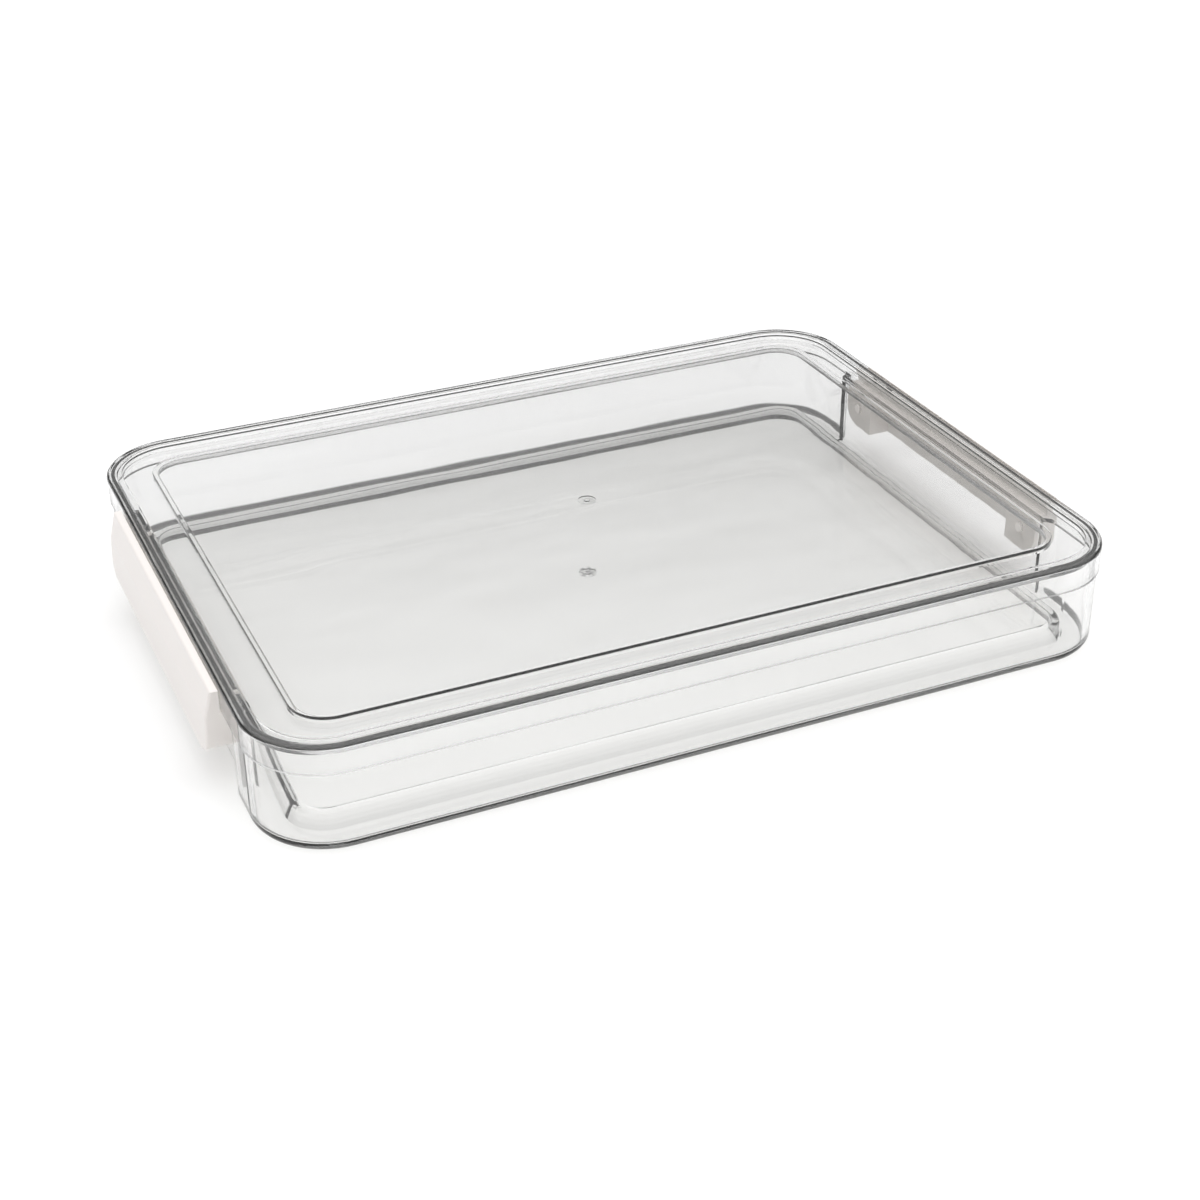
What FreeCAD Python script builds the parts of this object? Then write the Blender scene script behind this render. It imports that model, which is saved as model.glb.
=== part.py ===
"""Shallow clear storage tray with a lift-off lid and a clip-on bar handle at each end.

X runs from handle to handle, Y from front to back, +Z up. The origin is the centre of the
face that the tray stands on. All sizes are in millimetres.
"""
import FreeCAD, Part
import math
import os

V = FreeCAD.Vector
UP = V(0, 0, 1)

# Tray body
tray_length = 328.4        # outer size of the wall, X
tray_width = 246.4         # outer size of the wall, Y
tray_height = 40.0         # base plane to the top edge that carries the lid
tray_corner = 28.0         # outer corner radius of the wall, seen from above
wall = 2.4                 # wall thickness below the shoulder
foot_round = 4.0           # rounding of the outer bottom edge

# Neck that the lid slips over
neck_height = 9.0          # shoulder to top edge
shoulder = 1.0             # how far the neck is set back from the wall

# Floor: a raised field inside a channel that runs all round
floor_wall = 2.4           # thickness of channel bottom, raised field and its sides
floor_rise = 6.6           # channel bottom to raised field
channel_width = 8.9        # wall to the foot of the raised field
field_slope = 2.6          # how far the sides of the field lean in
field_corner = 12.0        # corner radius of the top of the field
field_round = 3.4          # rounding of the edge of the field
channel_round = 2.0        # rounding where the wall meets the channel bottom

# Lid
lid_wall = 2.0             # thickness of rim, gutter and panel
skirt_wall = 1.5
skirt_play = 0.2           # shoulder to the lower edge of the skirt
lid_gap = 0.3              # play between the lid and what is beside it
rim_round = 1.5            # rounding of the outer top edge
gutter_play = 0.8          # inner side of the tray's wall to the outer side of the gutter
gutter_drop = 2.8          # top of the rim to the gutter that runs all round
panel_inset = 17.5         # outer edge of the lid to the raised panel
panel_drop = 0.4           # top of the rim to the raised panel
panel_corner = 14.0
panel_round = 0.3          # rounding of the edges of panel and gutter

# Handles and the recesses behind them
handle_setback = 51.2      # side wall of the tray to the end of the handle
handle_height = 25.3
handle_drop = 2.7          # top of the lid to the top of the handle
handle_wall = 2.2
handle_top_width = 2.9     # width of the flat on top
handle_lean = 2.5          # how far the upper face leans out
handle_belly = 1.0         # how much further out the lower face reaches
handle_crease = 9.8        # top of the handle to the crease in its face
handle_shelf = 2.2         # thickness of the web under the skirt
handle_end = 19.5          # length of the solid block at each end
handle_corner = 8.0        # radius of the lower end corners
handle_round = 1.0
handle_play = 0.5          # play between the handle and the shoulder above it
recess_depth = 4.0
recess_margin = 2.5        # end of the handle to the end of the recess floor
recess_flare = 8.0         # radius of the rounded ends of the recess
recess_web = 2.0           # thickness of the web that closes the recess at the top
peg_diameter = 4.0
peg_play = 0.15            # radial play of a peg in its hole
peg_drop = 16.5            # top of the handle to the axis of its pegs

# Moulding gate marks
gate_diameter = 7.0
gate_depth = 0.35
gate_pip = 2.2             # diameter of the pip in the middle of the mark

# Sizes that follow from the ones above
neck_length = tray_length - 2 * shoulder
neck_width = tray_width - 2 * shoulder
neck_corner = tray_corner - shoulder
shoulder_z = tray_height - neck_height
hollow_length = tray_length - 2 * wall
hollow_width = tray_width - 2 * wall
hollow_corner = tray_corner - wall
field_z = floor_wall + floor_rise

lid_grow = lid_gap + skirt_wall
lid_length = neck_length + 2 * lid_grow
lid_width = neck_width + 2 * lid_grow
lid_corner = neck_corner + lid_grow
lid_top = tray_height + lid_wall
skirt_z = shoulder_z + skirt_play
gutter_inset = gutter_play + lid_wall
gutter_length = hollow_length - 2 * gutter_inset
gutter_width = hollow_width - 2 * gutter_inset
gutter_corner = hollow_corner - gutter_inset
gutter_z = lid_top - gutter_drop
panel_length = lid_length - 2 * panel_inset
panel_width = lid_width - 2 * panel_inset
panel_z = lid_top - panel_drop

handle_length = tray_width - 2 * handle_setback
wall_x = tray_length / 2
recess_x = wall_x - recess_depth
recess_half = handle_length / 2 + recess_margin
handle_top = lid_top - handle_drop
handle_bottom = handle_top - handle_height
handle_back_x = lid_length / 2 + lid_gap


def plan(length, width, radius, z):
    """Closed outline of a rectangle with round corners, at height z."""
    half_x, half_y = length / 2, width / 2
    edges = []
    corners = [(1, 1, 0), (-1, 1, 90), (-1, -1, 180), (1, -1, 270)]
    arcs = []
    for side_x, side_y, start in corners:
        centre = V(side_x * (half_x - radius), side_y * (half_y - radius), z)
        points = []
        for turn in (0, 45, 90):
            angle = math.radians(start + turn)
            points.append(centre + V(radius * math.cos(angle), radius * math.sin(angle), 0))
        arcs.append(points)
    for index, points in enumerate(arcs):
        edges.append(Part.Arc(*points).toShape())
        edges.append(Part.LineSegment(points[2], arcs[(index + 1) % 4][0]).toShape())
    return Part.Wire(edges)


def block(length, width, radius, z_low, z_high):
    """Upright block with round corners."""
    return Part.Face(plan(length, width, radius, z_low)).extrude(UP * (z_high - z_low))


def taper(low, high):
    """Solid between two outlines given as (length, width, radius, z)."""
    return Part.makeLoft([plan(*low), plan(*high)], True, True)


def edges_at(shape, z):
    """Edges that lie wholly at height z."""
    found = []
    for edge in shape.Edges:
        box = edge.BoundBox
        if abs(box.ZMin - z) < 1e-4 and abs(box.ZMax - z) < 1e-4:
            found.append(edge)
    return found


def other_end(shape):
    """The same shape at the opposite end of the tray."""
    turned = shape.copy()
    turned.rotate(V(0, 0, 0), UP, 180)
    return turned


def recess_cut(grow, z_low, z_high):
    """Space of the +X recess, grown into the tray by the given thickness.

    Each end is one round flare whose centre stays put, so the wall between the recess and
    its grown copy has the same thickness everywhere.
    """
    centre_x = wall_x - recess_flare
    flare_run = math.sqrt(recess_flare ** 2 - (recess_flare - recess_depth) ** 2)
    centre_y = recess_half + flare_run
    radius = recess_flare - grow
    floor_x = recess_x - grow
    turn = math.acos((floor_x - centre_x) / radius)
    outside_x = wall_x + recess_flare

    def flare_point(angle, side):
        return V(centre_x + radius * math.cos(angle), side * (centre_y - radius * math.sin(angle)), z_low)

    low = [flare_point(turn, -1), flare_point(turn / 2, -1), flare_point(0, -1)]
    high = [flare_point(0, 1), flare_point(turn / 2, 1), flare_point(turn, 1)]
    corner_low = V(outside_x, -centre_y, z_low)
    corner_high = V(outside_x, centre_y, z_low)
    outline = Part.Wire([
        Part.Arc(*low).toShape(),
        Part.LineSegment(low[2], corner_low).toShape(),
        Part.LineSegment(corner_low, corner_high).toShape(),
        Part.LineSegment(corner_high, high[0]).toShape(),
        Part.Arc(*high).toShape(),
        Part.LineSegment(high[2], low[0]).toShape(),
    ])
    return Part.Face(outline).extrude(UP * (z_high - z_low))


def gate_mark(z, direction):
    """Shallow round mark, to be cut from a face whose outward side is the given direction."""
    disc = Part.makeCylinder(gate_diameter / 2, gate_depth, V(0, 0, z), UP * -direction)
    pip = Part.makeCylinder(gate_pip / 2, gate_depth, V(0, 0, z), UP * -direction)
    return disc.cut(pip)


def peg(radius, x_low, x_high):
    """Both pegs of the +X handle, or their holes."""
    peg_y = (handle_length - handle_end) / 2
    peg_z = handle_top - peg_drop
    pegs = [Part.makeCylinder(radius, x_high - x_low, V(x_low, side * peg_y, peg_z), V(1, 0, 0))
            for side in (-1, 1)]
    return pegs[0].fuse(pegs[1])


def make_tray():
    body = block(tray_length, tray_width, tray_corner, 0, shoulder_z)
    recess = recess_cut(0, 0, shoulder_z)
    body = body.cut(recess).cut(other_end(recess))
    body = body.makeFillet(foot_round, edges_at(body, 0))
    neck = block(neck_length, neck_width, neck_corner, shoulder_z, tray_height)
    body = body.fuse(neck)

    hollow = block(hollow_length, hollow_width, hollow_corner, floor_wall, tray_height)
    hollow = hollow.makeFillet(channel_round, edges_at(hollow, floor_wall))
    bulge = recess_cut(wall, 0, shoulder_z + recess_web)
    hollow = hollow.cut(bulge).cut(other_end(bulge))

    field_top = (hollow_length - 2 * channel_width - 2 * field_slope,
                 hollow_width - 2 * channel_width - 2 * field_slope, field_corner, field_z)
    field_foot = (field_top[0] + 2 * field_slope, field_top[1] + 2 * field_slope,
                  field_corner + field_slope, floor_wall)
    field = taper(field_foot, field_top)
    field = field.makeFillet(field_round, edges_at(field, field_z))
    hollow = hollow.cut(field)

    inset = 2 * floor_wall
    under_top = (field_top[0] - inset, field_top[1] - inset, field_corner - floor_wall, floor_rise)
    under_foot = (field_foot[0] - inset, field_foot[1] - inset, field_foot[2] - floor_wall, 0)
    under = taper(under_foot, under_top)
    under = under.makeFillet(field_round - floor_wall, edges_at(under, floor_rise))
    body = body.cut(hollow).cut(under).cut(gate_mark(floor_rise, -1))

    holes = peg(peg_diameter / 2 + peg_play, recess_x - 2 * wall, recess_x + wall)
    return body.cut(holes).cut(other_end(holes))


def make_lid():
    shell = block(lid_length, lid_width, lid_corner, skirt_z, lid_top)
    shell = shell.makeFillet(rim_round, edges_at(shell, lid_top))
    inside = block(neck_length + 2 * lid_gap, neck_width + 2 * lid_gap, neck_corner + lid_gap,
                   skirt_z, tray_height)
    sunk = block(gutter_length, gutter_width, gutter_corner, gutter_z, lid_top)
    sunk = sunk.makeFillet(panel_round, edges_at(sunk, gutter_z))
    under = block(gutter_length + 2 * lid_wall, gutter_width + 2 * lid_wall, gutter_corner + lid_wall,
                  gutter_z - lid_wall, tray_height)
    under = under.makeFillet(panel_round, edges_at(under, gutter_z - lid_wall))
    panel = block(panel_length, panel_width, panel_corner, gutter_z - lid_wall, panel_z)
    panel = panel.makeFillet(panel_round, edges_at(panel, panel_z))
    pocket = block(panel_length - 2 * lid_wall, panel_width - 2 * lid_wall, panel_corner - lid_wall,
                   gutter_z - lid_wall, panel_z - lid_wall)
    pocket = pocket.makeFillet(panel_round, edges_at(pocket, panel_z - lid_wall))
    lid = shell.cut(inside).fuse(under).cut(sunk).fuse(panel).cut(pocket)
    return lid.cut(gate_mark(panel_z, 1)).removeSplitter()


def make_handle():
    """The handle of the +X end."""
    face_x = handle_back_x + handle_top_width
    crease_x = face_x + handle_lean
    belly_x = crease_x + handle_belly
    web_top = shoulder_z - handle_play
    half = handle_length / 2

    outline = [V(recess_x, -half, handle_bottom), V(belly_x, -half, handle_bottom),
               V(crease_x, -half, handle_top - handle_crease), V(face_x, -half, handle_top),
               V(handle_back_x, -half, handle_top), V(handle_back_x, -half, web_top),
               V(recess_x, -half, web_top)]
    section = Part.Face(Part.makePolygon(outline + outline[:1]))
    bar = section.extrude(V(0, handle_length, 0))

    lower_ends = [edge for edge in edges_at(bar, handle_bottom) if edge.BoundBox.YLength < 1e-4]
    bar = bar.makeFillet(handle_corner, lower_ends)
    show = [edge for edge in bar.Edges if edge.BoundBox.XMin > face_x - 1e-4]
    bar = bar.makeFillet(handle_round, show)

    grip_length = handle_length - 2 * handle_end
    grip_top = web_top - handle_shelf
    grip = Part.makeBox(belly_x - handle_wall - recess_x, grip_length, grip_top - handle_bottom,
                        V(recess_x, -grip_length / 2, handle_bottom))
    pegs = peg(peg_diameter / 2, recess_x - wall, recess_x + handle_wall)
    return bar.cut(grip).fuse(pegs).removeSplitter()


def main():
    os.makedirs("parts", exist_ok=True)
    handle = make_handle()
    parts = {
        "tray": make_tray(),
        "lid": make_lid(),
        "handle_right": handle,
        "handle_left": other_end(handle),
    }
    for name, shape in parts.items():
        solid = shape.Solids[0]
        print(name, "solids", len(shape.Solids), "valid", shape.isValid(), "volume", round(solid.Volume))
        solid.exportStep(os.path.join("parts", name + ".step"))


main()
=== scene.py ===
"""Looks of the lidded clear tray: clear moulded plastic, two white bar handles, studio light.

The tray, the lid and the handles are the CAD nodes themselves. Metres, row frame, +Z up.
"""

import bpy
from mathutils import Matrix, Vector


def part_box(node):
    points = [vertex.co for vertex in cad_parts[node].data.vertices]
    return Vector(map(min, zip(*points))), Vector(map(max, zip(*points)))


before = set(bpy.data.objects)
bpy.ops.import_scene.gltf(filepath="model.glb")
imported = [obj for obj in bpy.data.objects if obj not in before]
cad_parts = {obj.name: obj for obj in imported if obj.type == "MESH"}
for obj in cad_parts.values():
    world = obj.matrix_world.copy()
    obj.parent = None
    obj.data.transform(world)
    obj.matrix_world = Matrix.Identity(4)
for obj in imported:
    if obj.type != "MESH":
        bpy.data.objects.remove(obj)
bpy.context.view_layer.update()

# Camera
LENS = 61.244                                # mm
SENSOR = 36.0                                # mm
CAMERA_AT = Vector((-0.28044, -0.64655, 0.39952))
CAMERA_RIGHT = Vector((0.91276, -0.40841, -0.00844))
CAMERA_UP = Vector((0.20931, 0.44985, 0.86823))
CLIP = (0.01, 50.0)

# Studio
FLOOR_SIZE = 8.0
FLOOR_Z = -0.0002                            # just under the foot, so the faces do not meet
FLOOR_COLOUR = (0.95, 0.95, 0.95, 1.0)
FLOOR_ROUGHNESS = 0.9
FLOOR_GLOSS = 0.1
SKY_SEEN = 1.0                               # what the camera sees beyond the floor
SKY_HIGH = 1.85                              # soft light overhead
SKY_LOW = 0.2                                # dark room round the table
SKY_EDGE = (0.42, 0.8)                       # heights between which the dark turns to light
SKY_COLOUR = (1.0, 1.0, 1.0, 1.0)
BOUNCES = 24                                 # enough for light to cross both mouldings

# Clear plastic
CLEAR_IOR = 1.49
FLOW_NOISE = (9.0, 2.0)                      # scale, detail; slow waves left by the melt
FLOW_STRETCH = (1.0, 2.2, 1.0)
FLOW_BUMP = (0.05, 0.01)                     # strength, height
HAZE_NOISE = (60.0, 3.0)                     # scale, detail
HAZE_SPREAD = (0.35, 0.75)                   # noise values for no haze and for full haze
HAZE_ROUGHNESS = (0.0, 0.03)
CLEAR_SHARE = 0.992                          # the rest is scattered by haze in the skin
BULK_COLOUR = (0.33, 0.33, 0.32, 1.0)        # what is left of white light after one bulk depth
BULK_DENSITY = 21.0                          # per metre
SHADOW_TINT = (0.968, 0.968, 0.964, 1.0)
# The tray's foot is painted darker: painted shade standing in for the dark contact with the floor
# seen through the rounded foot edge.
FOOT_HEIGHT = (0.0038, 0.0046)               # painted shade on the outer foot edge below, none above
FOOT_FACING = (0.9, 0.98)                    # how far a face may turn down and still carry painted shade
WALL_CORNER = 0.028                          # corner radius of the tray's wall
WALL_REACH = (0.0257, 0.0261)                # from the corner centres: inner faces below, wall above
# How dark the painted shade is on the outer foot wall and on the inner ring.
PAINTED_SHADE_WALL = 0.97
PAINTED_SHADE_INNER = 0.12
GATE_EDGE = (0.0036, 0.0032)                 # radius at which a gate mark begins, and is full
GATE_SHADE = {"tray": 0.75, "lid": 0.2}
SWIRL_NOISE = (420.0, 2.0)                   # scale, detail
SWIRL_SPREAD = (0.42, 0.58)                  # noise values for clear and for dark

# White plastic
WHITE_COLOUR = (0.87, 0.828, 0.803, 1.0)
WHITE_IOR = 1.5
GRAIN_NOISE = (900.0, 4.0)                   # scale, detail
GRAIN_SPREAD = (0.3, 0.7)
GRAIN_ROUGHNESS = (0.28, 0.4)
GRAIN_BUMP = (0.06, 0.0004)                  # strength, height


def new_material(name):
    """A material without nodes, with its node and link lists."""
    made = bpy.data.materials.new(name)
    made.use_nodes = True
    made.node_tree.nodes.clear()
    return made, made.node_tree.nodes, made.node_tree.links


def object_noise(nodes, links, scale, detail, stretch=(1.0, 1.0, 1.0)):
    """Noise in the piece's own coordinates, stretched along the axes."""
    where = nodes.new("ShaderNodeTexCoord")
    mapping = nodes.new("ShaderNodeMapping")
    mapping.inputs["Scale"].default_value = stretch
    noise = nodes.new("ShaderNodeTexNoise")
    noise.inputs["Scale"].default_value = scale
    noise.inputs["Detail"].default_value = detail
    links.new(where.outputs["Object"], mapping.inputs["Vector"])
    links.new(mapping.outputs["Vector"], noise.inputs["Vector"])
    return noise.outputs["Fac"]


def ramp(nodes, links, source, low, high, low_value, high_value):
    """Maps source from low..high to low_value..high_value."""
    node = nodes.new("ShaderNodeMapRange")
    node.inputs["From Min"].default_value = low
    node.inputs["From Max"].default_value = high
    node.inputs["To Min"].default_value = low_value
    node.inputs["To Max"].default_value = high_value
    links.new(source, node.inputs["Value"])
    return node.outputs["Result"]


def times(nodes, links, first, second):
    """Product of two sockets."""
    node = nodes.new("ShaderNodeMath")
    node.operation = "MULTIPLY"
    links.new(first, node.inputs[0])
    links.new(second, node.inputs[1])
    return node.outputs["Value"]


def vector_step(nodes, links, operation, source, constant=(0.0, 0.0, 0.0)):
    """One vector operation between a socket and a constant."""
    node = nodes.new("ShaderNodeVectorMath")
    node.operation = operation
    node.inputs[1].default_value = constant
    links.new(source, node.inputs[0])
    return node.outputs["Vector"]


def length_of(nodes, links, source):
    """Length of a vector socket."""
    node = nodes.new("ShaderNodeVectorMath")
    node.operation = "LENGTH"
    links.new(source, node.inputs[0])
    return node.outputs["Value"]


def add_bump(nodes, links, shader, height, strength_and_height):
    """Bumps the shader's surface by a height socket."""
    bump = nodes.new("ShaderNodeBump")
    bump.inputs["Strength"].default_value, bump.inputs["Distance"].default_value = strength_and_height
    links.new(height, bump.inputs["Height"])
    links.new(bump.outputs["Normal"], shader.inputs["Normal"])


def gate_tint(nodes, links, shade):
    """1 all over, darker in the swirl of the gate mark on the middle axis of the piece."""
    where = nodes.new("ShaderNodeTexCoord")
    flat = vector_step(nodes, links, "MULTIPLY", where.outputs["Object"], (1.0, 1.0, 0.0))
    inside = ramp(nodes, links, length_of(nodes, links, flat), *GATE_EDGE, 0.0, 1.0)
    swirl = ramp(nodes, links, object_noise(nodes, links, *SWIRL_NOISE), *SWIRL_SPREAD, 0.0, 1.0)
    return ramp(nodes, links, times(nodes, links, inside, swirl), 0.0, 1.0, 1.0, 1.0 - shade)


def painted_foot_shade(nodes, links):
    """Painted shade: 1 all over, darker on the upright and rounded faces of the foot, most of all
    outside, standing in for the dark contact with the floor seen through the foot.
    """
    where = nodes.new("ShaderNodeTexCoord")
    place = nodes.new("ShaderNodeSeparateXYZ")
    links.new(where.outputs["Object"], place.inputs["Vector"])
    low = ramp(nodes, links, place.outputs["Z"], *FOOT_HEIGHT, 1.0, 0.0)
    facing = nodes.new("ShaderNodeSeparateXYZ")
    links.new(where.outputs["Normal"], facing.inputs["Vector"])
    down = nodes.new("ShaderNodeMath")
    down.operation = "ABSOLUTE"
    links.new(facing.outputs["Z"], down.inputs[0])
    upright = ramp(nodes, links, down.outputs["Value"], *FOOT_FACING, 1.0, 0.0)
    low_end, high_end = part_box("tray")
    centre = [(high - low) / 2 - WALL_CORNER for low, high in zip(low_end, high_end)]
    # The 1 m taken off the height leaves only the distance in plan.
    mirrored = vector_step(nodes, links, "ABSOLUTE", where.outputs["Object"])
    beyond = vector_step(nodes, links, "SUBTRACT", mirrored, (centre[0], centre[1], 1.0))
    reach = length_of(nodes, links, vector_step(nodes, links, "MAXIMUM", beyond))
    shade = ramp(nodes, links, reach, *WALL_REACH, PAINTED_SHADE_INNER, PAINTED_SHADE_WALL)
    # Painted shade on the low, upright faces of the foot, strongest on the outer wall.
    dark = times(nodes, links, times(nodes, links, low, upright), shade)
    return ramp(nodes, links, dark, 0.0, 1.0, 1.0, 0.0)


def clear_plastic(node):
    """Polished clear moulding: faint flow waves, slightly uneven gloss, light passes through it.

    Shadow and diffuse rays go straight through, so the floor below stays lit.
    """
    made, nodes, links = new_material("clear_plastic_" + node)
    shader = nodes.new("ShaderNodeBsdfPrincipled")
    gate_mark_and_painted_shade = gate_tint(nodes, links, GATE_SHADE[node])
    # On the tray the gate mark is multiplied by the painted shade of the foot.
    if node == "tray":
        gate_mark_and_painted_shade = times(nodes, links, gate_mark_and_painted_shade, painted_foot_shade(nodes, links))
    links.new(gate_mark_and_painted_shade, shader.inputs["Base Color"])
    shader.inputs["IOR"].default_value = CLEAR_IOR
    shader.inputs["Transmission Weight"].default_value = CLEAR_SHARE
    haze = object_noise(nodes, links, *HAZE_NOISE)
    links.new(ramp(nodes, links, haze, *HAZE_SPREAD, *HAZE_ROUGHNESS), shader.inputs["Roughness"])
    waves = object_noise(nodes, links, *FLOW_NOISE, FLOW_STRETCH)
    add_bump(nodes, links, shader, waves, FLOW_BUMP)

    through = nodes.new("ShaderNodeBsdfTransparent")
    through.inputs["Color"].default_value = SHADOW_TINT
    path = nodes.new("ShaderNodeLightPath")
    mix = nodes.new("ShaderNodeMixShader")
    lit = nodes.new("ShaderNodeMath")
    lit.operation = "MAXIMUM"
    links.new(path.outputs["Is Shadow Ray"], lit.inputs[0])
    links.new(path.outputs["Is Diffuse Ray"], lit.inputs[1])
    links.new(lit.outputs["Value"], mix.inputs["Fac"])
    links.new(shader.outputs["BSDF"], mix.inputs[1])
    links.new(through.outputs["BSDF"], mix.inputs[2])
    bulk = nodes.new("ShaderNodeVolumeAbsorption")
    bulk.inputs["Color"].default_value = BULK_COLOUR
    bulk.inputs["Density"].default_value = BULK_DENSITY
    output = nodes.new("ShaderNodeOutputMaterial")
    links.new(mix.outputs["Shader"], output.inputs["Surface"])
    links.new(bulk.outputs["Volume"], output.inputs["Volume"])
    return made


def white_plastic():
    """Opaque warm white moulding with a satin skin."""
    made, nodes, links = new_material("white_plastic")
    shader = nodes.new("ShaderNodeBsdfPrincipled")
    shader.inputs["Base Color"].default_value = WHITE_COLOUR
    shader.inputs["IOR"].default_value = WHITE_IOR
    grain = object_noise(nodes, links, *GRAIN_NOISE)
    links.new(ramp(nodes, links, grain, *GRAIN_SPREAD, *GRAIN_ROUGHNESS), shader.inputs["Roughness"])
    add_bump(nodes, links, shader, grain, GRAIN_BUMP)
    output = nodes.new("ShaderNodeOutputMaterial")
    links.new(shader.outputs["BSDF"], output.inputs["Surface"])
    return made


def dress(node, material):
    """Gives a CAD node one material."""
    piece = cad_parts[node]
    for index in range(max(1, len(piece.material_slots))):
        if index < len(piece.data.materials):
            piece.data.materials[index] = material
        else:
            piece.data.materials.append(material)


def add_floor():
    """Plain pale paper under the tray."""
    mesh = bpy.data.meshes.new("floor")
    half = FLOOR_SIZE / 2
    corners = [(-half, -half, 0), (half, -half, 0), (half, half, 0), (-half, half, 0)]
    mesh.from_pydata(corners, [], [(0, 1, 2, 3)])
    floor = bpy.data.objects.new("floor", mesh)
    bpy.context.scene.collection.objects.link(floor)
    floor.location.z = FLOOR_Z
    made, nodes, links = new_material("floor_paper")
    shader = nodes.new("ShaderNodeBsdfPrincipled")
    shader.inputs["Base Color"].default_value = FLOOR_COLOUR
    shader.inputs["Roughness"].default_value = FLOOR_ROUGHNESS
    shader.inputs["Specular IOR Level"].default_value = FLOOR_GLOSS
    output = nodes.new("ShaderNodeOutputMaterial")
    links.new(shader.outputs["BSDF"], output.inputs["Surface"])
    floor.data.materials.append(made)


def add_world():
    """Bright overhead, dark near the horizon, pale where the camera looks past the floor."""
    world = bpy.data.worlds.new("studio")
    world.use_nodes = True
    nodes, links = world.node_tree.nodes, world.node_tree.links
    background = nodes["Background"]
    background.inputs["Color"].default_value = SKY_COLOUR
    where = nodes.new("ShaderNodeTexCoord")
    split = nodes.new("ShaderNodeSeparateXYZ")
    links.new(where.outputs["Generated"], split.inputs["Vector"])
    height = ramp(nodes, links, split.outputs["Z"], *SKY_EDGE, SKY_LOW, SKY_HIGH)
    path = nodes.new("ShaderNodeLightPath")
    seen = nodes.new("ShaderNodeMix")
    links.new(path.outputs["Is Camera Ray"], seen.inputs["Factor"])
    links.new(height, seen.inputs["A"])
    seen.inputs["B"].default_value = SKY_SEEN
    links.new(seen.outputs["Result"], background.inputs["Strength"])
    bpy.context.scene.world = world


def add_camera():
    """Camera in front of the left corner, above the tray."""
    data = bpy.data.cameras.new("camera")
    data.sensor_width = SENSOR
    data.lens = LENS
    camera = bpy.data.objects.new("camera", data)
    bpy.context.scene.collection.objects.link(camera)
    back = CAMERA_RIGHT.cross(CAMERA_UP)
    turn = Matrix((CAMERA_RIGHT, CAMERA_UP, back)).transposed()
    camera.matrix_world = Matrix.Translation(CAMERA_AT) @ turn.to_4x4()
    data.clip_start, data.clip_end = CLIP
    bpy.context.scene.camera = camera


for node in ("tray", "lid"):
    dress(node, clear_plastic(node))
white = white_plastic()
for node in ("handle_left", "handle_right"):
    dress(node, white)

add_floor()
add_world()
add_camera()

scene = bpy.context.scene
scene.view_settings.view_transform = "Standard"
scene.cycles.max_bounces = BOUNCES
scene.cycles.transmission_bounces = BOUNCES
scene.cycles.transparent_max_bounces = BOUNCES
scene.cycles.caustics_refractive = False
scene.cycles.caustics_reflective = False
